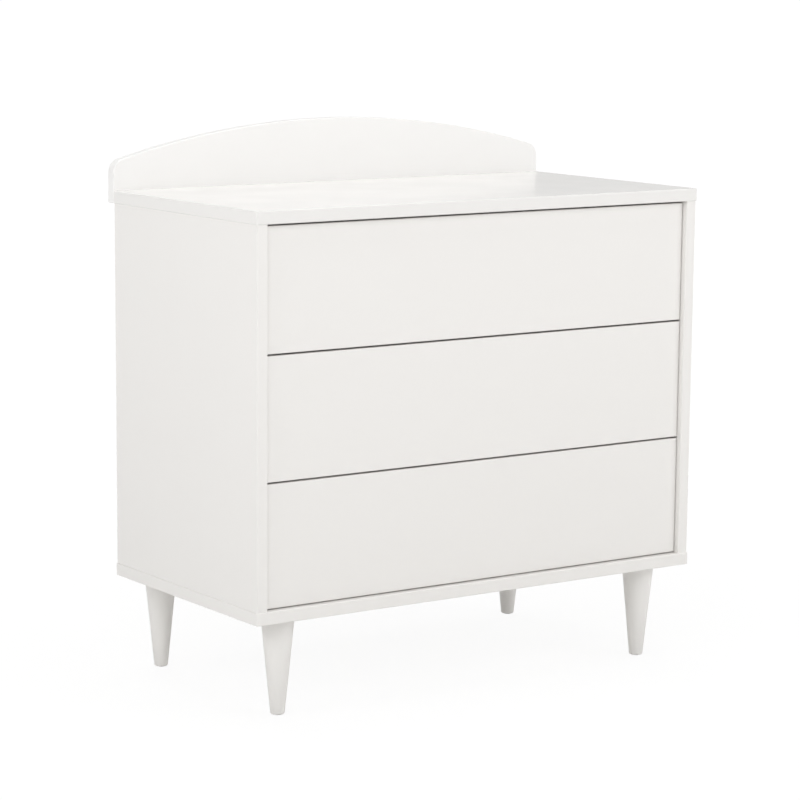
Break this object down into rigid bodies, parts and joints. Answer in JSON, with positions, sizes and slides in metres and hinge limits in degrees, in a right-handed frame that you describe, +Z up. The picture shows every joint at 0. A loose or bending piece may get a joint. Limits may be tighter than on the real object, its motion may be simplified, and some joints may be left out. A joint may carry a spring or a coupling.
{
  "type": "changing table",
  "caption": "Free-standing changing table: white panelled chest with push-to-open drawers on telescopic runners, an arched rear rail and turned tapered legs.",
  "frame": {"origin": "on the floor, under the centre of the overall box", "axes": "+Z up, drawers open towards -Y, +X to the right of a person standing in front"},
  "size_m": [1, 0.533, 1.048],
  "materials": {
    "white_lacquered_board": "satin white lacquer on MDF, slightly warm",
    "white_lacquered_wood": "satin white lacquer on turned solid wood",
    "white_melamine": "matt white melamine on particle board",
    "white_hardboard": "matt white printed hardboard",
    "beech": "plain fluted beech",
    "zinc_plated_steel": "bright zinc plated",
    "runner_steel": "cold-rolled, zinc plated",
    "zinc_die_cast": "raw die cast",
    "white_plastic": "matt moulded",
    "grey_plastic": "matt moulded"
  },
  "bodies": {
    "carcass": {"top_panel": "white_lacquered_board", "arched_back_rail": "white_lacquered_board", "left_side_panel": "white_lacquered_board", "right_side_panel": "white_lacquered_board", "bottom_panel": "white_lacquered_board", "back_panel": "white_hardboard", "front_left_leg": "white_lacquered_wood", "front_right_leg": "white_lacquered_wood", "rear_left_leg": "white_lacquered_wood", "rear_right_leg": "white_lacquered_wood", "carcass_dowels": "beech", "cam_bolts": "zinc_plated_steel", "cam_discs": "zinc_die_cast", "rail_screws": "zinc_plated_steel", "rail_screw_caps": "white_plastic", "leg_plates": "zinc_plated_steel", "leg_bolts": "zinc_plated_steel", "leg_plate_screws": "zinc_plated_steel", "leg_glides": "grey_plastic", "cabinet_runner_screws": "zinc_plated_steel", "latch_housings": "grey_plastic", "bottom_left_cabinet_runner": "runner_steel", "bottom_right_cabinet_runner": "runner_steel", "middle_left_cabinet_runner": "runner_steel", "middle_right_cabinet_runner": "runner_steel", "top_left_cabinet_runner": "runner_steel", "top_right_cabinet_runner": "runner_steel"},
    "bottom_drawer": {"bottom_drawer_front": "white_lacquered_board", "bottom_drawer_left_side": "white_melamine", "bottom_drawer_right_side": "white_melamine", "bottom_drawer_back": "white_melamine", "bottom_drawer_bottom": "white_hardboard", "bottom_left_drawer_runner": "runner_steel", "bottom_right_drawer_runner": "runner_steel", "bottom_drawer_runner_screws": "zinc_plated_steel"},
    "bottom_middle_runners": {"bottom_left_middle_runner": "runner_steel", "bottom_right_middle_runner": "runner_steel"},
    "bottom_plungers": {"bottom_latch_plungers": "grey_plastic"},
    "middle_drawer": {"middle_drawer_front": "white_lacquered_board", "middle_drawer_left_side": "white_melamine", "middle_drawer_right_side": "white_melamine", "middle_drawer_back": "white_melamine", "middle_drawer_bottom": "white_hardboard", "middle_left_drawer_runner": "runner_steel", "middle_right_drawer_runner": "runner_steel", "middle_drawer_runner_screws": "zinc_plated_steel"},
    "middle_middle_runners": {"middle_left_middle_runner": "runner_steel", "middle_right_middle_runner": "runner_steel"},
    "middle_plungers": {"middle_latch_plungers": "grey_plastic"},
    "top_drawer": {"top_drawer_front": "white_lacquered_board", "top_drawer_left_side": "white_melamine", "top_drawer_right_side": "white_melamine", "top_drawer_back": "white_melamine", "top_drawer_bottom": "white_hardboard", "top_left_drawer_runner": "runner_steel", "top_right_drawer_runner": "runner_steel", "top_drawer_runner_screws": "zinc_plated_steel"},
    "top_middle_runners": {"top_left_middle_runner": "runner_steel", "top_right_middle_runner": "runner_steel"},
    "top_plungers": {"top_latch_plungers": "grey_plastic"}
  },
  "joints": [
    {"name": "bottom_drawer_slide", "type": "slide", "parent": "carcass", "child": "bottom_drawer", "axis": [0, -1, 0], "range_m": [-0.003, 0.395]},
    {"name": "bottom_runner_travel", "type": "slide", "parent": "carcass", "child": "bottom_middle_runners", "axis": [0, -1, 0], "range_m": [-0.0016, 0.1976]},
    {"name": "bottom_plunger_travel", "type": "slide", "parent": "carcass", "child": "bottom_plungers", "axis": [0, -1, 0], "range_m": [-0.0004, 0.0396]},
    {"name": "middle_drawer_slide", "type": "slide", "parent": "carcass", "child": "middle_drawer", "axis": [0, -1, 0], "range_m": [-0.003, 0.395]},
    {"name": "middle_runner_travel", "type": "slide", "parent": "carcass", "child": "middle_middle_runners", "axis": [0, -1, 0], "range_m": [-0.0016, 0.1976]},
    {"name": "middle_plunger_travel", "type": "slide", "parent": "carcass", "child": "middle_plungers", "axis": [0, -1, 0], "range_m": [-0.0004, 0.0396]},
    {"name": "top_drawer_slide", "type": "slide", "parent": "carcass", "child": "top_drawer", "axis": [0, -1, 0], "range_m": [-0.003, 0.395]},
    {"name": "top_runner_travel", "type": "slide", "parent": "carcass", "child": "top_middle_runners", "axis": [0, -1, 0], "range_m": [-0.0016, 0.1976]},
    {"name": "top_plunger_travel", "type": "slide", "parent": "carcass", "child": "top_plungers", "axis": [0, -1, 0], "range_m": [-0.0004, 0.0396]}
  ],
  "couplings": [
    {"joint": "bottom_runner_travel", "follows": "bottom_drawer_slide", "ratio": 0.5},
    {"joint": "bottom_plunger_travel", "follows": "bottom_drawer_slide", "ratio": 0.1},
    {"joint": "middle_runner_travel", "follows": "middle_drawer_slide", "ratio": 0.5},
    {"joint": "middle_plunger_travel", "follows": "middle_drawer_slide", "ratio": 0.1},
    {"joint": "top_runner_travel", "follows": "top_drawer_slide", "ratio": 0.5},
    {"joint": "top_plunger_travel", "follows": "top_drawer_slide", "ratio": 0.1}
  ]
}
